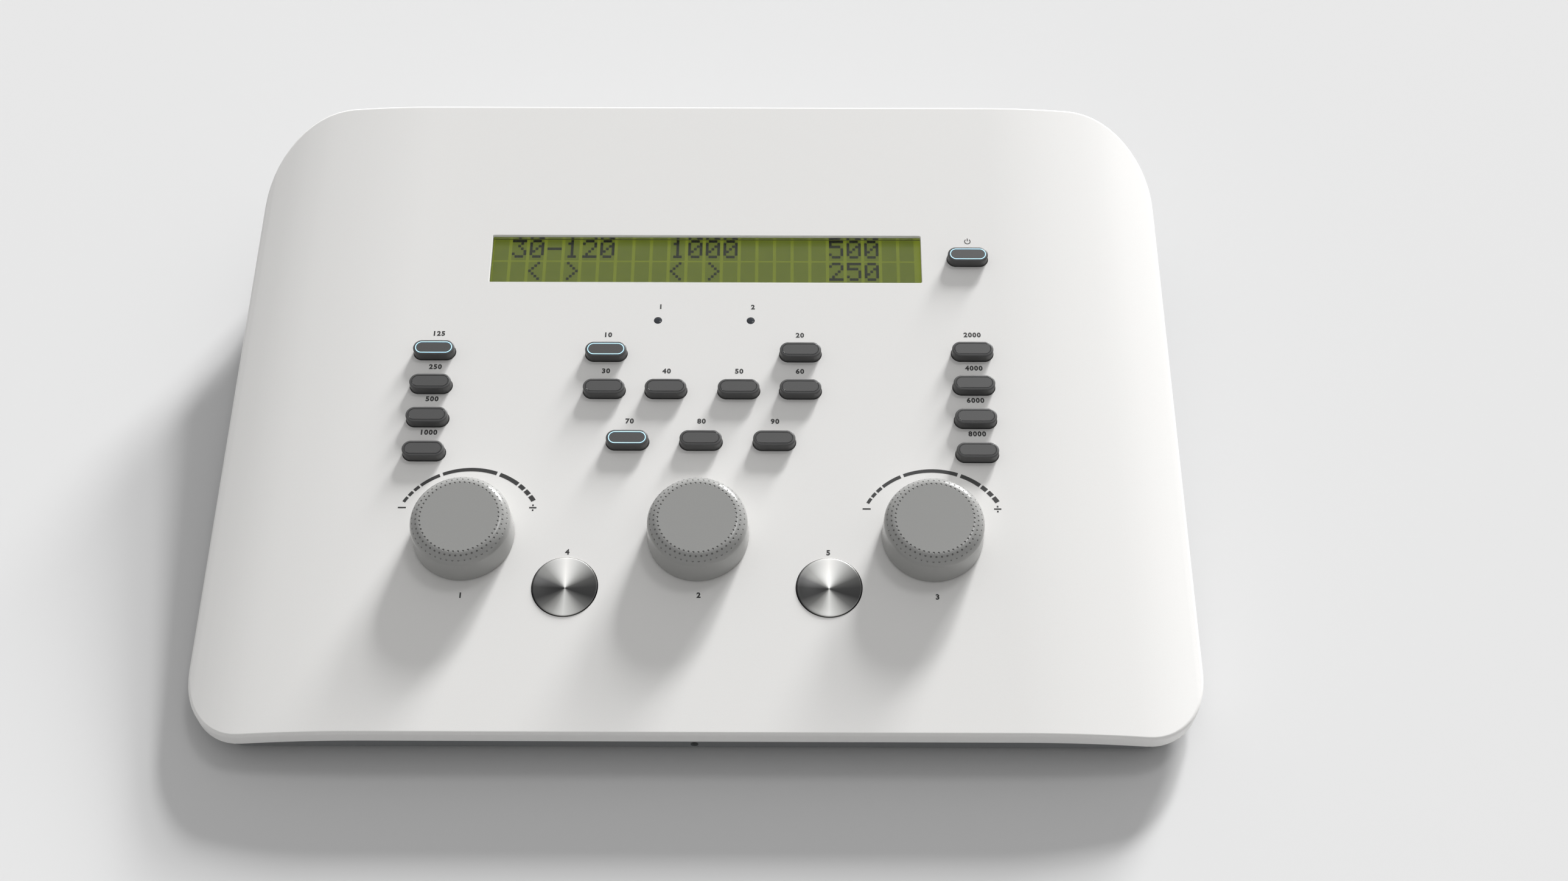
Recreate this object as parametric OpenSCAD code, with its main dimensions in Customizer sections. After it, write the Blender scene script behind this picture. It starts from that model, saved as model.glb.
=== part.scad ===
// Desktop diagnostic audiometer: a sloping, gently arched keyboard cover on a wedge-shaped base.
// The parts under the cover are drawn in the cover's own frame, whose z = 0 is the flat top surface.

/* [Cover] */
// Width of the cover, side to side
cover_w = 366; // [360:1:380]
// Depth of the cover, measured along its slope
cover_d = 283.4; // [278:0.2:295]
// How far the middle of the cover lies behind the middle of the controls
centre_y = 0.6; // [0:0.1:2]
// Height of the rim
lip_h = 6.5; // [5:0.5:8]
// Thickness of the top wall
top_wall = 2.5; // [2.5:0.1:3]
// Width of the thick rim, seen from below
rim_w = 3; // [2.5:0.1:4]
// Rounding along the rim's upper edge
rim_r = 1.2; // [0.8:0.1:2]
// Half width of the flat middle, before the top curves down
flat_half = 115; // [115:1:125]
// Radius of the curve down to either side
arch_r = 320; // [300:5:400]
// Distance from the middle to where that curve tightens
tight_x = 158; // [150:1:165]
// Radius of the bend added from there on
tight_r = 130; // [120:5:200]
// Distance from the middle to the bevel along either side
bevel_x = 179.8; // [178:0.1:181]
// Reach of each back corner along the width
back_corner_x = 34; // [28:1:45]
// Reach of each back corner along the depth
back_corner_y = 45; // [35:1:55]
// Reach of each front corner along the width
front_corner_x = 23; // [18:1:30]
// Reach of each front corner along the depth
front_corner_y = 29; // [20:1:40]

/* [Stance] */
// Slope of the top, up towards the back, in degrees
tilt = 8; // [7:0.5:9]
// Height of the middle of the top above the table
panel_h = 40; // [40:0.5:44]
// Height of the rubber feet below the base
foot_h = 2; // [2:0.5:3]
// How far the base stands in from the cover's edge
base_inset = 4.8; // [4.5:0.1:8]
// Thickness of the base's walls and floor
base_wall = 2.5; // [2:0.5:3]

/* [Display] */
// Width of the display opening
window_w = 172; // [165:1:175]
// Depth of the display opening
window_d = 23; // [20:1:24]
// Distance of the display opening behind the middle of the cover
window_y = 63.7; // [62:0.1:66]
// Depth of the window pane below the cover's surface
window_sunk = 1.2; // [0.5:0.1:1.5]

/* [Keys] */
// Length of a key at its foot
key_l = 16; // [14:0.5:16]
// Width of a key at its foot
key_w = 6.9; // [6:0.1:7.5]
// Height of a key above the cover
key_h = 3.8; // [3:0.1:4.5]
// Travel of a key and of a press disc
key_travel = 0.9; // [0.5:0.1:1]
// Distance of the side key columns from the middle
side_x = 104.4; // [103:0.1:105]
// Distance of the outer centre keys from the middle
centre_x = 37.7; // [36:0.1:40]
// Distance of the inner centre keys from the middle
inner_x = 14; // [12:0.5:15]
// Spacing of the lowest row of centre keys
low_pitch = 27.8; // [25:0.1:30]

/* [Knobs and press discs] */
// Radius of a knob at its foot
knob_r = 18.75; // [17:0.25:19]
// Height of a knob's flat top above the cover
knob_h = 14.7; // [13:0.1:17]
// Radius of a knob's flat top
knob_top_r = 14.1; // [13:0.1:15]
// Distance of the outer knobs from the middle
knob_x = 86.4; // [84:0.1:88]
// Distance of the knobs in front of the middle of the cover
knob_y = 62.4; // [60:0.1:64]
// Radius of an encoder shaft
shaft_r = 3; // [3]
// Radius of a press disc
disc_r = 11.9; // [11:0.1:12.5]
// Depth of the dish turned into a press disc
disc_dish = 1.3; // [0.5:0.1:1.5]
// Distance of the press discs from the middle
disc_x = 48.1; // [46:0.1:49]
// Distance of the press discs in front of the middle of the cover
disc_y = 83.4; // [82:0.1:86]

/* [Sockets] */
// Radius of the bore of a 6.35 mm jack socket
jack_r = 3.2; // [3.2]
// Spacing of the jack sockets
jack_pitch = 26; // [24:1:28]
// Distance of the first jack socket left of the middle, seen from the front
jack_x = 112; // [106:1:116]
// Height of the sockets' middle line above the table
socket_z = 26; // [24:1:28]

/* [Hidden] */
$fn = 64;

gap = 0.3;                    // clearance round what moves
edge = 0.3;                   // broken edge under the rim
board_t = 1.6;                // thickness of a circuit board
board_z = -13;                // upper face of the main board
board_x = 118;                // half width of the main board
board_back = 88;              // its back edge
board_front = -101;           // its front edge
switch_h = 3.5;               // height of a tact switch body
stem_z = board_z + switch_h + key_travel + gap;   // lower end of a key's stem
flange_t = 1.3;               // thickness of a key's retaining flange
flange_z = -top_wall - gap - flange_t;            // underside of that flange
y_shift = -(lip_h - edge + rim_r) * sin(tilt) / 2 - centre_y * cos(tilt); // centres the outline
bevel_fall = 0.09;            // how much steeper the bevel falls than the arch
base_d = cover_d * cos(tilt);
floor_z = foot_h + 2;         // upper face of the base's floor
back_y = base_d / 2 - base_inset + y_shift + centre_y;       // outer face of the rear wall
front_y = -base_d / 2 + base_inset + y_shift + centre_y;     // outer face of the front wall
boss_end = -15.7;             // where cover and base bosses meet
head_seat = -22;              // seat of the case screws' heads
conn_z = socket_z - 7;        // upper face of the connector board
talk_z = floor_z + 1.9;       // height of the talk-back opening
usb_x = 62;
dc_x = 96;
lcd_z = -8.4;                 // upper face of the display's board
lcd_w = 184;
lcd_d = 33;
lcd_wall = 0.8;
dish_steps = 6;
shoulder_z = 10.2;            // where a knob's side turns into its rounded shoulder

keys_left = [for (y = [18.5, 3, -12, -27]) [-side_x, y]];
keys_right = [for (y = [18.5, 3, -12, -27]) [side_x, y]];
keys_upper = [[-centre_x, 18], [centre_x, 18]];
keys_middle = [[-centre_x, 1], [-inner_x, 1], [inner_x, 1], [centre_x, 1]];
keys_lower = [[-low_pitch, -22], [0, -22], [low_pitch, -22]];
key_power = [side_x, window_y];
keys = concat([key_power], keys_left, keys_right, keys_upper, keys_middle, keys_lower);
knobs = [[-knob_x, -knob_y], [0, -knob_y], [knob_x, -knob_y]];
discs = [[-disc_x, -disc_y], [disc_x, -disc_y]];
leds = [[-18.2, 33.8], [18.2, 33.8]];
board_posts = [[-112, 83], [112, 83], [-112, -94], [112, -94], [-70, -10], [70, -10]];
lcd_posts = [for (x = [-80, 80], y = [-19.2, 19.2]) [x, window_y + y]];
case_posts = [for (x = [-150, 150], y = [78, -7, -92]) [x, y]];
jacks = [for (i = [0:5]) -jack_x + i * jack_pitch];
conn_posts = [[-122, back_y - 30], [-122, back_y - 9], [112, back_y - 30], [112, back_y - 9]];

white = "#ECEBE9";
base_grey = "#8F9193";
key_grey = "#545454";
knob_grey = "#979795";
steel = "#B9BBBD";
black = "#202224";
board_green = "#1F6B4A";
brass = "#C9B27A";

// ---- Lofted shapes ----

// Drop of the arched top at a distance x from the middle
function arch(x) = abs(x) <= flat_half ? 0
    : arch_r - sqrt(arch_r * arch_r - pow(abs(x) - flat_half, 2))
        + pow(max(0, abs(x) - tight_x), 2) / (2 * tight_r) + max(0, abs(x) - bevel_x) * bevel_fall;

// How far an elliptical corner draws the outline back at x
function corner(x, cx, cy, inset) =
    let (s = (abs(x) - (cover_w / 2 - cx)) / (cx - inset))
    s <= 0 ? 0 : (cy - inset) * (1 - sqrt(max(0, 1 - s * s)));

// Places across the width where the outline has its points
corner_x0 = cover_w / 2 - back_corner_x;
right_half = concat(
    [for (i = [0:2]) flat_half + i * (corner_x0 - flat_half) / 3],
    [for (i = [0:5]) corner_x0 + back_corner_x * sin(i * 90 / 8)],
    [bevel_x * cover_w / (cover_w - 2 * rim_r)],
    [for (i = [7:8]) corner_x0 + back_corner_x * sin(i * 90 / 8)]);
stations = concat([for (i = [len(right_half) - 1:-1:0]) -right_half[i]], right_half);

// The outline, drawn in by inset; bend = 1 lets it follow the arch
function outline(d, inset, z, bend) =
    let (f = 1 - 2 * inset / cover_w, n = len(stations))
    concat(
        [for (s = stations) let (x = s * f)
            [x, centre_y + corner(x, front_corner_x, front_corner_y, inset) - d / 2 + inset,
                z - bend * arch(x)]],
        [for (i = [n - 1:-1:0]) let (x = stations[i] * f)
            [x, centre_y + d / 2 - inset - corner(x, back_corner_x, back_corner_y, inset),
                z - bend * arch(x)]]);

// Outline of a key, drawn in by inset
function stadium(l, w, inset, z) =
    let (r = w / 2 - inset, c = (l - w) / 2)
    concat([for (i = [0:8]) [c + r * cos(i * 22.5 - 90), r * sin(i * 22.5 - 90), z]],
        [for (i = [0:8]) [-c + r * cos(i * 22.5 + 90), r * sin(i * 22.5 + 90), z]]);

// Closed skin over a list of rings; strips = true closes both ends in strips across the depth
module skin(rings, strips = false) {
    n = len(rings[0]);
    top = (len(rings) - 1) * n;
    walls = [for (k = [0:len(rings) - 2], i = [0:n - 1])
        let (a = k * n + i, b = k * n + (i + 1) % n, c = a + n, d = b + n) each [[a, c, d], [a, d, b]]];
    floor_face = strips ? [for (i = [0:n / 2 - 2]) [i, i + 1, n - 2 - i, n - 1 - i]]
        : [[for (i = [0:n - 1]) i]];
    roof_face = strips ? [for (i = [0:n / 2 - 2]) [top + i, top + n - 1 - i, top + n - 2 - i, top + i + 1]]
        : [[for (i = [n - 1:-1:0]) top + i]];
    polyhedron([for (r = rings, p = r) p], concat(walls, floor_face, roof_face));
}

// Moves the cover's frame to its place on the sloping top
module on_slope() {
    translate([0, y_shift, panel_h]) rotate([tilt, 0, 0]) children();
}

module at(places) {
    for (p = places) translate([p[0], p[1], 0]) children();
}

// Upright cylinder between two heights
module post(r, z0, z1) {
    translate([0, 0, z0]) cylinder(r = r, h = z1 - z0);
}

// Block about x = y = 0, between two heights
module slab(w, d, z0, z1) {
    translate([-w / 2, -d / 2, z0]) cube([w, d, z1 - z0]);
}

// ---- Housing ----

module cover_shell() {
    skin([outline(cover_d, rim_w, -top_wall, 1),
        outline(cover_d, rim_w, -lip_h, 1),
        outline(cover_d, edge, -lip_h, 1),
        outline(cover_d, 0, -lip_h + edge, 1),
        for (a = [0:22.5:90]) outline(cover_d, rim_r * (1 - cos(a)), -rim_r * (1 - sin(a)), 1)],
        strips = true);
}

module key_hole() {
    translate([0, 0, -top_wall - 1]) linear_extrude(top_wall + 2)
        polygon([for (p = stadium(key_l, key_w, -gap, 0)) [p[0], p[1]]]);
}

module top_cover() {
    color(white) on_slope() difference() {
        union() {
            cover_shell();
            at(board_posts) post(3.5, board_z, -top_wall + 0.5);
            at(lcd_posts) post(2.4, lcd_z, -top_wall + 0.5);
            at(case_posts) post(4, boss_end, -top_wall - 1);
        }
        translate([0, window_y, 0]) slab(window_w, window_d, -top_wall - 1, 1);
        at(keys) key_hole();
        at(knobs) post(4.8, -top_wall - 1, 1);
        at(discs) post(disc_r + gap, -top_wall - 1, 1);
        at(leds) post(1.6, -top_wall - 1, 1);
        at(board_posts) post(1.3, board_z - 1, -4.5);
        at(lcd_posts) post(1, lcd_z - 1, -4);
        at(case_posts) post(1.5, boss_end - 1, -7);
    }
}

// The base's outer form, from the chamfered foot up to the underside of the cover
module base_block(inset, z0) {
    intersection() {
        translate([0, y_shift, 0]) skin([outline(base_d, inset + 2, z0, 0),
            outline(base_d, inset, z0 + 2, 0), outline(base_d, inset, 70, 0)]);
        on_slope() skin([outline(cover_d, -10, -70, 0),
            outline(cover_d, -10, -top_wall - gap, 1)], strips = true);
    }
}

// Room for the cover's rim, which leans over the base's upright walls at the corners
module rim_room() {
    on_slope() difference() {
        skin([outline(cover_d, -10, -lip_h - gap, 1), outline(cover_d, -10, 5, 1)], strips = true);
        skin([outline(cover_d, rim_w + gap, -lip_h - 1, 1), outline(cover_d, rim_w + gap, 6, 1)],
            strips = true);
    }
}

module rear_openings() {
    translate([0, back_y, socket_z]) {
        for (x = jacks) translate([x, 0, 0]) rotate([90, 0, 0]) post(4.9, -5, 8);
        translate([dc_x, 0, 0]) rotate([90, 0, 0]) post(5.4, -5, 8);
        translate([usb_x - 6.3, -8, -7.3]) cube([12.6, 12, 11.5]);
    }
}

module base_shell() {
    color(base_grey) difference() {
        union() {
            difference() {
                base_block(base_inset, foot_h);
                rim_room();
                intersection() {
                    translate([0, y_shift, 0]) skin([outline(base_d, base_inset + base_wall, floor_z, 0),
                        outline(base_d, base_inset + base_wall, 80, 0)]);
                    translate([-200, -200, floor_z]) cube([400, 400, 80]);
                }
            }
            intersection() {
                on_slope() at(case_posts) post(4.5, -70, boss_end);
                translate([-200, -200, floor_z - 1]) cube([400, 400, 80]);
            }
            at(conn_posts) post(3, floor_z - 1, conn_z - board_t);
        }
        rear_openings();
        on_slope() at(case_posts) {
            post(1.8, -70, boss_end + 1);
            post(3.5, -70, head_seat);
        }
        at(conn_posts) post(1.25, floor_z + 2, conn_z);
        translate([0, front_y + base_wall + 1, talk_z]) rotate([90, 0, 0]) cylinder(r = 1.4, h = 6);
        for (x = [-148, 148], y = [-104, 98]) translate([x, y, 0]) post(7.2, -1, foot_h + 0.8);
    }
}

module rubber_feet() {
    color(black) for (x = [-148, 148], y = [-104, 98]) translate([x, y, 0]) {
        post(7, 0.4, foot_h + 0.8);
        cylinder(r1 = 6.6, r2 = 7, h = 0.4);
    }
}

module case_screws() {
    color(steel) on_slope() at(case_posts) {
        post(1.5, head_seat, -8);
        difference() {
            post(3, head_seat - 2, head_seat);
            post(1.2, head_seat - 3, head_seat - 1);
        }
    }
}

// ---- Display ----

module display_window() {
    color("#7F8C3A", 0.6) on_slope() translate([0, window_y, 0]) {
        slab(window_w + 8, window_d + 7, -top_wall - window_sunk, -top_wall);
        slab(window_w - 0.4, window_d - 0.4, -top_wall, -window_sunk);
    }
}

module lcd_frame() {
    color(black) on_slope() translate([0, window_y, 0]) difference() {
        slab(lcd_w, lcd_d, lcd_z, -top_wall - window_sunk);
        slab(lcd_w - 2 * lcd_wall, lcd_d - 2 * lcd_wall, lcd_z - 1, -top_wall - window_sunk - lcd_wall);
        slab(window_w + 3, window_d + 2, lcd_z, 0);
    }
}

module lcd_glass() {
    color("#5F6A2C") on_slope() translate([0, window_y, 0])
        slab(lcd_w - 2 * lcd_wall, lcd_d - 2 * lcd_wall, -7, -top_wall - window_sunk - lcd_wall);
}

module lcd_board() {
    color(board_green) on_slope() difference() {
        translate([0, window_y, 0]) slab(188, 43, lcd_z - board_t, lcd_z);
        at(lcd_posts) post(1.3, lcd_z - 3, lcd_z + 1);
    }
}

module lcd_screws() {
    color(steel) on_slope() at(lcd_posts) {
        post(1, lcd_z - board_t, -4.4);
        post(1.9, lcd_z - board_t - 1.2, lcd_z - board_t);
    }
}

module indicator_leds() {
    color("#26313B") on_slope() at(leds) {
        post(1.9, board_z, -3);
        post(1.45, -3, 0);
    }
}

// ---- Electronics under the keys ----

module main_board() {
    color(board_green) on_slope() difference() {
        translate([-board_x, board_front, board_z - board_t])
            cube([2 * board_x, board_back - board_front, board_t]);
        at(board_posts) post(1.7, board_z - 3, board_z + 1);
    }
}

module board_screws() {
    color(steel) on_slope() at(board_posts) {
        post(1.3, board_z - board_t, -5);
        post(2.6, board_z - board_t - 1.8, board_z - board_t);
    }
}

module tact_switches() {
    color(black) on_slope() at(concat(keys, discs)) slab(6, 6, board_z, board_z + switch_h);
}

module encoder_bodies() {
    color(steel) on_slope() at(knobs) difference() {
        union() {
            slab(13, 12.4, board_z, -6.5);
            post(4.5, -6.5, -0.4);
        }
        post(shaft_r + 0.05, -11.5, 1);
    }
}

module encoder_shaft(p) {
    color(brass) on_slope() translate([p[0], p[1], 0]) post(shaft_r, -11.2, knob_h - 2.9);
}

module talk_microphone() {
    color(steel) translate([0, front_y + base_wall, talk_z]) rotate([-90, 0, 0])
        cylinder(r = 1.6, h = 2.2);
}

// ---- Rear sockets ----

module connector_board() {
    color(board_green) difference() {
        translate([-128, back_y - 36, conn_z - board_t]) cube([246, 36 - base_wall - 0.5, board_t]);
        at(conn_posts) post(1.7, conn_z - 3, conn_z + 1);
    }
}

module connector_screws() {
    color(steel) at(conn_posts) {
        post(1.25, floor_z + 3, conn_z);
        post(2.6, conn_z, conn_z + 1.8);
    }
}

module jack_socket(x) {
    color(black) translate([x, back_y, socket_z]) rotate([90, 0, 0]) difference() {
        union() {
            slab(14, 14, base_wall, 32);
            post(4.7, -4, base_wall);
        }
        post(jack_r, -5, 30);
    }
}

module jack_nuts() {
    color(steel) for (x = jacks) translate([x, back_y, socket_z]) rotate([90, 0, 0]) difference() {
        post(6.5, -2, 0);
        post(4.7, -3, 1);
    }
}

// Square type B socket with its tongue
module usb_socket() {
    color(steel) translate([usb_x, back_y, socket_z]) rotate([90, 0, 0]) {
        difference() {
            translate([0, -1.55, 0]) slab(12, 10.9, -0.6, 16);
            translate([0, -1.55, 0]) slab(8.5, 7.8, -2, 10);
        }
        translate([0, -1.55, 0]) slab(5.6, 3.2, 2, 10.5);
    }
}

// Round power inlet, and the pin in its middle
module dc_inlet() {
    color(black) translate([dc_x, back_y, socket_z]) rotate([90, 0, 0]) difference() {
        union() {
            slab(11, 14, base_wall, 14);
            post(5.2, -0.6, base_wall);
        }
        post(2.8, -2, 10);
    }
}

module dc_pin() {
    color(steel) translate([dc_x, back_y, socket_z]) rotate([90, 0, 0]) post(1, 1, 10);
}

// ---- Keys, discs and knobs ----

module key(p) {
    color(key_grey) on_slope() translate([p[0], p[1], 0]) {
        skin([stadium(key_l, key_w, 1.2, 1.8),
            stadium(key_l, key_w, 1.2, flange_z),
            stadium(key_l, key_w, -1, flange_z),
            stadium(key_l, key_w, -1, flange_z + flange_t),
            stadium(key_l, key_w, 0, flange_z + flange_t),
            stadium(key_l, key_w, 0, gap),
            stadium(key_l, key_w, 0.35, key_h - gap),
            stadium(key_l, key_w, 0.6, key_h),
            stadium(key_l, key_w, 0.8, key_h),
            stadium(key_l, key_w, 0.8, key_h - gap),
            stadium(key_l, key_w, 1.3, key_h - gap),
            stadium(key_l, key_w, 1.3, key_h)]);
        post(1.8, stem_z, 2);
    }
}

module press_disc(p) {
    rim = disc_r - 0.5;
    color(steel) on_slope() translate([p[0], p[1], 0]) rotate_extrude() polygon(concat(
        [for (i = [0:dish_steps]) let (r = rim * i / dish_steps)
            [r, 0.4 - disc_dish * (1 - pow(i / dish_steps, 2))]],
        [[disc_r - 0.2, 0.4], [disc_r, 0.2], [disc_r, flange_z + flange_t],
            [disc_r + 1.5, flange_z + flange_t], [disc_r + 1.5, flange_z], [2, flange_z],
            [2, stem_z], [0, stem_z]]));
}

module knob(p) {
    skirt_r = knob_r - 0.35;
    color(knob_grey) on_slope() translate([p[0], p[1], 0]) rotate_extrude() polygon(concat(
        [[0, knob_h]],
        [for (a = [90:-10:0]) [knob_top_r + (skirt_r - knob_top_r) * cos(a),
            shoulder_z + (knob_h - shoulder_z) * sin(a)]],
        [[knob_r, 0.9], [knob_r, 0.4], [knob_r - 1.9, 0.4], [knob_r - 1.9, knob_h - 2.5],
            [5.5, knob_h - 2.5], [5.5, 1.4], [shaft_r, 1.4], [shaft_r, knob_h - 2.7],
            [0, knob_h - 2.7]]));
}

top_cover();
base_shell();
display_window();
lcd_frame();
lcd_glass();
lcd_board();
indicator_leds();
main_board();
tact_switches();
encoder_bodies();
talk_microphone();
connector_board();
jack_socket(jacks[0]);  // jack_socket_1
jack_socket(jacks[1]);  // jack_socket_2
jack_socket(jacks[2]);  // jack_socket_3
jack_socket(jacks[3]);  // jack_socket_4
jack_socket(jacks[4]);  // jack_socket_5
jack_socket(jacks[5]);  // jack_socket_6
jack_nuts();
usb_socket();
dc_inlet();
dc_pin();
case_screws();
board_screws();
lcd_screws();
connector_screws();
rubber_feet();
key(key_power);  // power_key
key(keys_left[0]);  // left_key_1
key(keys_left[1]);  // left_key_2
key(keys_left[2]);  // left_key_3
key(keys_left[3]);  // left_key_4
key(keys_right[0]);  // right_key_1
key(keys_right[1]);  // right_key_2
key(keys_right[2]);  // right_key_3
key(keys_right[3]);  // right_key_4
key(keys_upper[0]);  // upper_key_1
key(keys_upper[1]);  // upper_key_2
key(keys_middle[0]);  // middle_key_1
key(keys_middle[1]);  // middle_key_2
key(keys_middle[2]);  // middle_key_3
key(keys_middle[3]);  // middle_key_4
key(keys_lower[0]);  // lower_key_1
key(keys_lower[1]);  // lower_key_2
key(keys_lower[2]);  // lower_key_3
press_disc(discs[0]);  // press_disc_left
press_disc(discs[1]);  // press_disc_right
knob(knobs[0]);  // knob_left
knob(knobs[1]);  // knob_centre
knob(knobs[2]);  // knob_right
encoder_shaft(knobs[0]);  // shaft_left
encoder_shaft(knobs[1]);  // shaft_centre
encoder_shaft(knobs[2]);  // shaft_right
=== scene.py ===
import math

import bmesh
import bpy
from mathutils import Euler, Matrix, Vector


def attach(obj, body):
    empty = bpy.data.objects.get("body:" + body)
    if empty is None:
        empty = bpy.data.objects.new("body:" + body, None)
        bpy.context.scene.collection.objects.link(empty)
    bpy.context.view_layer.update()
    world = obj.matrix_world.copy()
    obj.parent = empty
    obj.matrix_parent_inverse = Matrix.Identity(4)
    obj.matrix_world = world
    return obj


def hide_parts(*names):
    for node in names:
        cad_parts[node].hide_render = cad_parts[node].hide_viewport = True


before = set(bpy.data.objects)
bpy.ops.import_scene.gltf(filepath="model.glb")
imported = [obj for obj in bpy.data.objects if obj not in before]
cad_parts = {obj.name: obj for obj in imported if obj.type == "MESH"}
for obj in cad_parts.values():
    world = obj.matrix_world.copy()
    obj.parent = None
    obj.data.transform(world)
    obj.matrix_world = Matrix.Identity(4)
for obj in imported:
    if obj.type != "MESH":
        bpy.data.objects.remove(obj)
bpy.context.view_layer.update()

# ---- Place of the sloping top ----
# The controls are drawn in millimetres on the flat of the cover: x to the right, y to the back,
# z out of the surface. SLOPE sets them down at 8 degrees; LEVEL is for what stands square on the table.
# The cover's own middle lies CENTRE_Y behind the middle of the controls, and SHIFT_Y centres its outline,
# with the rim's height and the rounds of its upper and lower edges, on the table's middle.
TILT = math.radians(8)
CENTRE_Y = 0.6
RIM, UPPER_ROUND, LOWER_ROUND = 6.5, 1.2, 0.3
SHIFT_Y = -(RIM - LOWER_ROUND + UPPER_ROUND) * math.sin(TILT) / 2 - CENTRE_Y * math.cos(TILT)
TOP_HEIGHT = 40
LEVEL = Matrix.Scale(0.001, 4)
SLOPE = LEVEL @ Matrix.Translation((0, SHIFT_Y, TOP_HEIGHT)) @ Matrix.Rotation(TILT, 4, "X")

# ---- Camera ----
# Stands in front of the unit and a little to the right, looking down at the keys.
LENS, CAMERA_AT, CAMERA_TURN = 48.07, (33.2, -429.5, 680.1), (30.99, 0.02, 0.21)
bpy.ops.object.camera_add()
camera = bpy.context.object
camera.name = "camera"
camera.data.sensor_width = 36
camera.data.lens = LENS
camera.data.clip_end = 50
turn = Euler([math.radians(angle) for angle in CAMERA_TURN]).to_matrix().to_4x4()
turn = Matrix.Rotation(TILT, 4, "X") @ turn
camera.matrix_world = Matrix.Translation(SLOPE @ Vector(CAMERA_AT)) @ turn
bpy.context.scene.camera = camera


# ---- Floor ----
# A pale matt studio floor, larger than any view, on which the four feet stand.
def linear(code):
    """An sRGB hex colour as the linear RGBA that shaders take"""
    parts = [int(code[i:i + 2], 16) / 255 for i in (1, 3, 5)]
    return [c / 12.92 if c <= 0.04045 else ((c + 0.055) / 1.055) ** 2.4 for c in parts] + [1]


def add(tree, kind, inputs={}, **settings):
    """Adds a node; an input is given as a value, or as the socket that feeds it"""
    node = tree.nodes.new("ShaderNode" + kind)
    for key, value in settings.items():
        setattr(node, key, value)
    for socket, value in inputs.items():
        if isinstance(value, bpy.types.NodeSocket):
            tree.links.new(value, node.inputs[socket])
        else:
            node.inputs[socket].default_value = value
    return node


def start_material(name, colour, roughness, metallic=0):
    """A new material and its shader"""
    material = bpy.data.materials.new(name)
    material.use_nodes = True
    shader = material.node_tree.nodes["Principled BSDF"]
    shader.inputs["Base Color"].default_value = linear(colour)
    shader.inputs["Roughness"].default_value = roughness
    shader.inputs["Metallic"].default_value = metallic
    return material, shader


def wear(piece, *materials):
    """Gives a piece its materials in place of what it had"""
    piece.data.materials.clear()
    for material in materials:
        piece.data.materials.append(material)


bpy.ops.mesh.primitive_plane_add(size=8)
floor = bpy.context.object
floor.name = "studio_floor"
floor_paint, shader = start_material("matt_studio_paint", "#E9E9E9", 0.95)
shader.inputs["Specular IOR Level"].default_value = 0.1
wear(floor, floor_paint)

# ---- Lamps and world ----
# Two soft lamps at the back right give the long shadows: a wide low one, and a small one above it.
# A high lamp draws the short shadow close to the case, and a sky brighter at the back fills the rest;
# what looks at the sky, straight, in a reflection or through the pane, sees it at its full strength.
SKY_FILL, SKY_SEEN, SKY_LEAN = 0.37, 0.90, 0.2
for name, azimuth, height, wide, energy in (("low_back_lamp", 26, 16.5, 12, 3.2),
                                            ("upper_back_lamp", 20, 25, 7, 1.9),
                                            ("high_lamp", 45, 68, 12, 0.22)):
    bpy.ops.object.light_add(type="SUN")
    lamp = bpy.context.object
    lamp.name = name
    lamp.data.energy = energy
    lamp.data.angle = math.radians(wide)
    lamp.rotation_euler = (math.radians(90 - height), 0, math.pi - math.radians(azimuth))

sky = bpy.data.worlds.new("studio_sky")
bpy.context.scene.world = sky
sky.use_nodes = True
tree = sky.node_tree
tree.nodes.clear()
path = add(tree, "LightPath")
seen = add(tree, "Math", {0: path.outputs["Is Camera Ray"], 1: path.outputs["Is Glossy Ray"]},
           operation="MAXIMUM")
seen = add(tree, "Math", {0: seen.outputs[0], 1: path.outputs["Is Transmission Ray"]},
           operation="MAXIMUM")
level = add(tree, "MapRange", {"Value": seen.outputs[0], "To Min": SKY_FILL, "To Max": SKY_SEEN})
way = add(tree, "TexCoord")
way = add(tree, "SeparateXYZ", {0: way.outputs["Generated"]})
lean = add(tree, "Math", {0: way.outputs["Y"], 1: SKY_LEAN, 2: 1}, operation="MULTIPLY_ADD")
level = add(tree, "Math", {0: level.outputs[0], 1: lean.outputs[0]}, operation="MULTIPLY")
bpy.context.scene.view_settings.view_transform = "Standard"
background = add(tree, "Background", {"Color": (1, 1, 1, 1), "Strength": level.outputs[0]})
add(tree, "OutputWorld", {"Surface": background.outputs[0]})


# ---- Cover ----
# The arched top, injection moulded in white ABS and sprayed with satin lacquer: flat across the
# keys, curving down to both sides, with a rounded rim and cut-outs for the display and controls.
def pick(kind, test):
    """Selects the vertices, edges or faces of the mesh in edit mode that pass the test"""
    bpy.ops.mesh.select_mode(type=kind)
    bpy.ops.mesh.select_all(action="DESELECT")
    mesh = bmesh.from_edit_mesh(bpy.context.object.data)
    mesh.normal_update()
    for item in {"VERT": mesh.verts, "EDGE": mesh.edges, "FACE": mesh.faces}[kind]:
        if test(item):
            item.select_set(True)
    mesh.select_flush_mode()
    bmesh.update_edit_mesh(bpy.context.object.data)


def pick_all():
    """Selects all faces of the mesh in edit mode"""
    bpy.ops.mesh.select_mode(type="FACE")
    bpy.ops.mesh.select_all(action="SELECT")


def face_out():
    """Selects the whole mesh in edit mode and turns its faces outwards"""
    bpy.ops.mesh.select_all(action="SELECT")
    bpy.ops.mesh.normals_make_consistent(inside=False)


def activate(piece):
    """Selects one piece alone"""
    bpy.ops.object.select_all(action="DESELECT")
    bpy.context.view_layer.objects.active = piece
    piece.select_set(True)


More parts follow.
